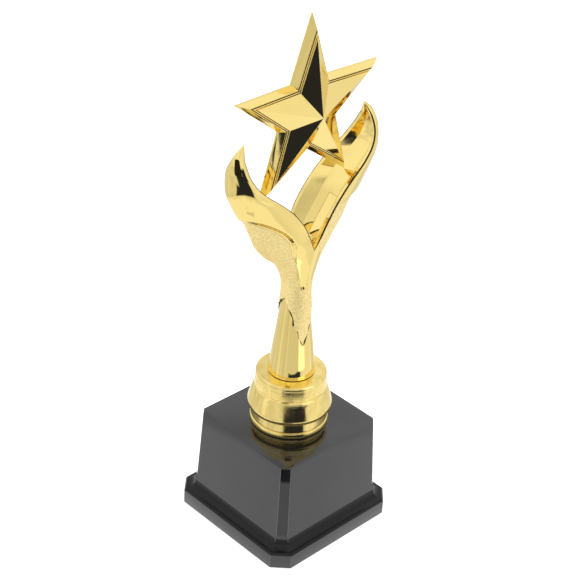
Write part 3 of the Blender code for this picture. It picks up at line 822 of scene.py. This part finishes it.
# The bezel's section, in from the rim: (inset, height above the rim), and the stretches that are grooves
BEZEL = [(0.0, 0.0), (0.22, 0.02), (0.34, -0.35), (0.50, -0.35), (0.58, 0.40), (0.92, 0.44), (1.02, 0.08),
         (1.16, 0.08), (1.24, 0.86), (STAR_BEZEL, STAR_BEZEL_RISE)]
GROOVES = ((0.22, 0.52), (0.92, 1.18))
GROOVE_LOW, GROOVE_HIGH = -1.0, 0.3  # a groove's faces lie between these heights above the rim


def in_groove(face):
    """Whether the face is the floor or outer wall of a bezel groove."""
    middle = face.calc_center_median() / MM
    across, up = middle.x, middle.z - STAR_CENTRE
    radius = math.hypot(across, up)
    turn = (math.degrees(math.atan2(up, across)) - 90) % 72
    turn = math.radians(min(turn, 72 - turn))
    tip = Vector((STAR_RADIUS, 0))
    waist = Vector((math.cos(math.radians(36)), math.sin(math.radians(36)))) * STAR_WAIST
    edge = (waist - tip).normalized()
    spot = Vector((math.cos(turn), math.sin(turn))) * radius - tip
    inset = abs(edge.x * spot.y - edge.y * spot.x)
    at_depth = STAR_RIM_Y - GROOVE_HIGH < middle.y < STAR_RIM_Y - GROOVE_LOW
    return at_depth and any(near < inset < far for near, far in GROOVES)


def make_star():
    rim = STAR_RIM_Y
    rings = [star_ring(-STAR_DRAFT, -0.02)] + [star_ring(inset, rim - rise) for inset, rise in BEZEL]
    front = loft("star_front", rings + [[(0, rim - STAR_APEX, STAR_CENTRE)]], "polished_gold")
    rings = [star_ring(-STAR_DRAFT, 0.02), star_ring(-STAR_DRAFT, 0.8), [(0, STAR_BACK_APEX, STAR_CENTRE)]]
    back = loft("star_back", rings, "polished_gold")
    # The grooves' floors and outer walls are dark with painted shade.
    face_looks(front, ("polished_gold", "painted_shade_bronze"), lambda face: int(in_groove(face)))
    for obj, node in ((front, "star_front_shell"), (back, "star_back_shell")):
        stands_for(baked(obj, 1), node)


# ---------------------------------------------------------------- studio


CAMERA_SIDE = 45  # degrees that the camera stands round from the front, to the left

# Patches of the light map, laid over each other in this order: (azimuth window, height window, level).
# A window is (low, high, softness at low, softness at high) in degrees, and azimuth 0 is the camera's side.
PATCHES = [
    ((-150, 180, 10, 1), (22, 75, 8, 10), 0.97),
    ((48, 125, 3, 20), (-48, 75, 6, 6), 0.93),
    ((-110, -66, 6, 3), (8, 75, 4, 4), 0.95),
    ((-75, -62, 3, 3), (-30, 10, 4, 4), 0.95),
    ((-58, -20, 12, 5), (-14, 16, 6, 6), 0.78),
    ((-24, 44, 3, 1.5), (-38, -24, 2, 2), 0.0),
    ((-13, 44, 4, 1.5), (-28, 9, 2, 2), 0.0),
    ((25, 52, 1, 1), (2, 24, 2, 2), 0.0),
]
FLOOR_LIGHT, SIDE_LIGHT = 1.0, 0.74  # the map's level low down, and elsewhere outside the patches
DARK = (0.021, 0.023, 0.043, 1)
WHITE = (1, 1, 1, 1)


def light_map():
    """The studio as the plating mirrors it: pale all round, with dark patches on the camera's side."""
    world = bpy.data.worlds.new("studio")
    bpy.context.scene.world = world
    world.use_nodes = True
    nodes = Nodes(world.node_tree)
    axes = nodes.add("ShaderNodeSeparateXYZ", Vector=nodes.add("ShaderNodeTexCoord").outputs["Generated"])
    x, y, z = axes.outputs
    sine, cosine = math.sin(math.radians(CAMERA_SIDE)), math.cos(math.radians(CAMERA_SIDE))
    ahead = nodes.math("SUBTRACT", nodes.math("MULTIPLY", x, -sine), nodes.math("MULTIPLY", y, cosine))
    aside = nodes.math("SUBTRACT", nodes.math("MULTIPLY", x, cosine), nodes.math("MULTIPLY", y, sine))
    azimuth = nodes.math("DEGREES", nodes.math("ARCTAN2", aside, ahead))
    height = nodes.math("DEGREES", nodes.math("ARCSINE", z))

    def window(value, low, high, soft_low, soft_high):
        rising = nodes.span(value, low - soft_low, low + soft_low)
        falling = nodes.span(value, high - soft_high, high + soft_high, 1.0, 0.0)
        return nodes.math("MULTIPLY", rising, falling)

    def patch(az, el, level, under):
        mask = nodes.math("MULTIPLY", window(azimuth, *az), window(height, *el))
        return nodes.math("ADD", under, nodes.math("MULTIPLY", mask, nodes.math("SUBTRACT", level, under)))

    light = nodes.span(height, -48, -38, FLOOR_LIGHT, SIDE_LIGHT)
    for azimuths, heights, level in PATCHES:
        light = patch(azimuths, heights, level, light)
    around = nodes.add("ShaderNodeTexCoord").outputs["Generated"]
    drift = nodes.add("ShaderNodeTexNoise", Vector=around, Scale=3.5, Detail=1.0)
    light = nodes.math("MULTIPLY", light, nodes.span(drift.outputs["Fac"], 0.3, 0.7, 0.86, 1.1))
    seen = nodes.add("ShaderNodeLightPath").outputs["Is Camera Ray"]
    background = world.node_tree.nodes["Background"]
    tinted = nodes.mix(nodes.span(light, 0.0, 1.0, smooth=False), DARK, WHITE)
    nodes.put(background.inputs["Color"], nodes.mix(seen, tinted, WHITE))
    background.inputs["Strength"].default_value = 1.0


def area(name, place_at, aim, size, power):
    """A soft lamp, in metres and watts, that the plating doesn't mirror."""
    lamp = bpy.data.lights.new(name, "AREA")
    lamp.shape = "RECTANGLE"
    lamp.size, lamp.size_y = size
    lamp.energy = power
    obj = bpy.data.objects.new(name, lamp)
    obj.location = place_at
    obj.rotation_euler = (Vector(place_at) - Vector(aim)).to_track_quat("Z", "Y").to_euler()
    obj.visible_glossy = False
    bpy.context.scene.collection.objects.link(obj)


def card(name, corners, level):
    """A glowing card that only mirror surfaces see."""
    mesh = bpy.data.meshes.new(name)
    mesh.from_pydata([Vector(c) * MM for c in corners], [], [tuple(range(len(corners)))])
    obj = bpy.data.objects.new(name, mesh)
    bpy.context.scene.collection.objects.link(obj)
    made = bpy.data.materials.new(name)
    made.use_nodes = True
    shader = made.node_tree.nodes["Principled BSDF"]
    shader.inputs["Base Color"].default_value = (0, 0, 0, 1)
    shader.inputs["Emission Color"].default_value = (1, 1, 1, 1)
    shader.inputs["Emission Strength"].default_value = level
    shader.inputs["Specular IOR Level"].default_value = 0
    mesh.materials.append(made)
    obj.visible_camera = False
    obj.visible_diffuse = False
    obj.visible_shadow = False


def compass(rel, radius, z):
    """A point at this many degrees round from the camera's side."""
    turn = math.radians(rel - CAMERA_SIDE)
    return (math.sin(turn) * radius, -math.cos(turn) * radius, z)


def upright_card(name, start, end, radius, low, high, level):
    """A card from one compass direction to another, between two heights in millimetres."""
    corners = ((start, low), (end, low), (end, high), (start, high))
    card(name, [compass(rel, radius, z) for rel, z in corners], level)


def make_cards():
    """Small cards beside the object. They shape what the plating and the plinth mirror, and nothing else."""
    card("near_floor", [compass(rel, 150, 0.3) for rel in range(-180, 180, 10)], 1.0)
    upright_card("corner_card", -12, 12, 88, 0.5, 31, 0.7)
    middle, across, up = Vector((-78, -43, 215)), Vector((17, -17, 0)), Vector((7, 7, 22))
    corners = [middle + across * i + up * j for i, j in ((-1, -1), (1, -1), (1, 1), (-1, 1))]
    card("tip_flag", corners, 0.018)
    upright_card("stem_fill", -22, 30, 40, 73.5, 98, 0.7)
    upright_card("stem_light", 30, 60, 40, 73, 96, 1.4)


def make_floor():
    """The pale table top. Nothing mirrors it: the light map and the near_floor card stand for it there."""
    bm = bmesh.new()
    bmesh.ops.create_circle(bm, cap_ends=True, segments=96, radius=4.0)
    bmesh.ops.translate(bm, verts=bm.verts, vec=(0, 0, -0.0002))
    mesh = mesh_of(bm, "floor")
    floor = bpy.data.objects.new("floor", mesh)
    bpy.context.scene.collection.objects.link(floor)
    made, nodes, shader = new_material("pale_paper")
    tone = nodes.mix(object_noise(nodes, 400.0), (0.90, 0.90, 0.90, 1), (0.94, 0.94, 0.94, 1))
    nodes.put(shader.inputs["Base Color"], tone)
    shader.inputs["Roughness"].default_value = 0.9
    shader.inputs["Specular IOR Level"].default_value = 0.1
    shader.inputs["Emission Color"].default_value = (1, 1, 1, 1)
    shader.inputs["Emission Strength"].default_value = 0.4
    mesh.materials.append(made)
    floor.visible_glossy = False


LENS, SENSOR = 93.2, 36.0
CAMERA_ANGLES = (-45.078, 31.612, 3.26)  # azimuth, elevation and roll in degrees
CAMERA_DISTANCE, CAMERA_HEIGHT, CAMERA_ASIDE = 675.6, 124.2, -3.696


def make_camera():
    """The view from the front left, about 32 degrees above the level."""
    camera = bpy.data.cameras.new("camera")
    camera.sensor_width = SENSOR
    camera.lens = LENS
    camera.clip_start = 0.01
    obj = bpy.data.objects.new("camera", camera)
    bpy.context.scene.collection.objects.link(obj)
    azimuth, elevation, roll = (math.radians(v) for v in CAMERA_ANGLES)
    back = Vector((math.sin(azimuth) * math.cos(elevation), -math.cos(azimuth) * math.cos(elevation),
                   math.sin(elevation)))
    level_up = (Vector((0, 0, 1)) - back * back.z).normalized()
    level_right = level_up.cross(back)
    right = level_right * math.cos(roll) + level_up * math.sin(roll)
    up = back.cross(right)
    spot = Vector((0, 0, CAMERA_HEIGHT * MM)) + right * (CAMERA_ASIDE * MM) + back * (CAMERA_DISTANCE * MM)
    obj.matrix_world = Matrix.Translation(spot) @ Matrix((right, up, back)).transposed().to_4x4()
    bpy.context.scene.camera = obj


HIDDEN_PIECES = ("felt_pad", "base_cover", "ballast_block", "clamp_nut", "clamp_washer", "tie_rod",
                 "stem_nut")


def dress_hidden_pieces():
    """The CAD nodes that keep their shape get their finish."""
    slots = {s["node"]: s["material_slot"] for s in frame["record"]["subparts"]}
    for name in HIDDEN_PIECES:
        node = frame["nodes"][name]
        node.data.materials.clear()
        node.data.materials.append(LOOKS[slots[name]])


make_camera()
light_map()
make_floor()
area("key", (-0.9, -0.2, 1.3), (0, 0, 0.12), (0.8, 0.8), 9.0)
area("fill", (1.1, -0.5, 1.0), (0, 0, 0.12), (0.8, 0.8), 8.0)
make_cards()
make_plinth()
make_riser()
make_stem()
make_figure()
make_creases()
make_star()
dress_hidden_pieces()
bpy.context.scene.view_settings.view_transform = "Standard"
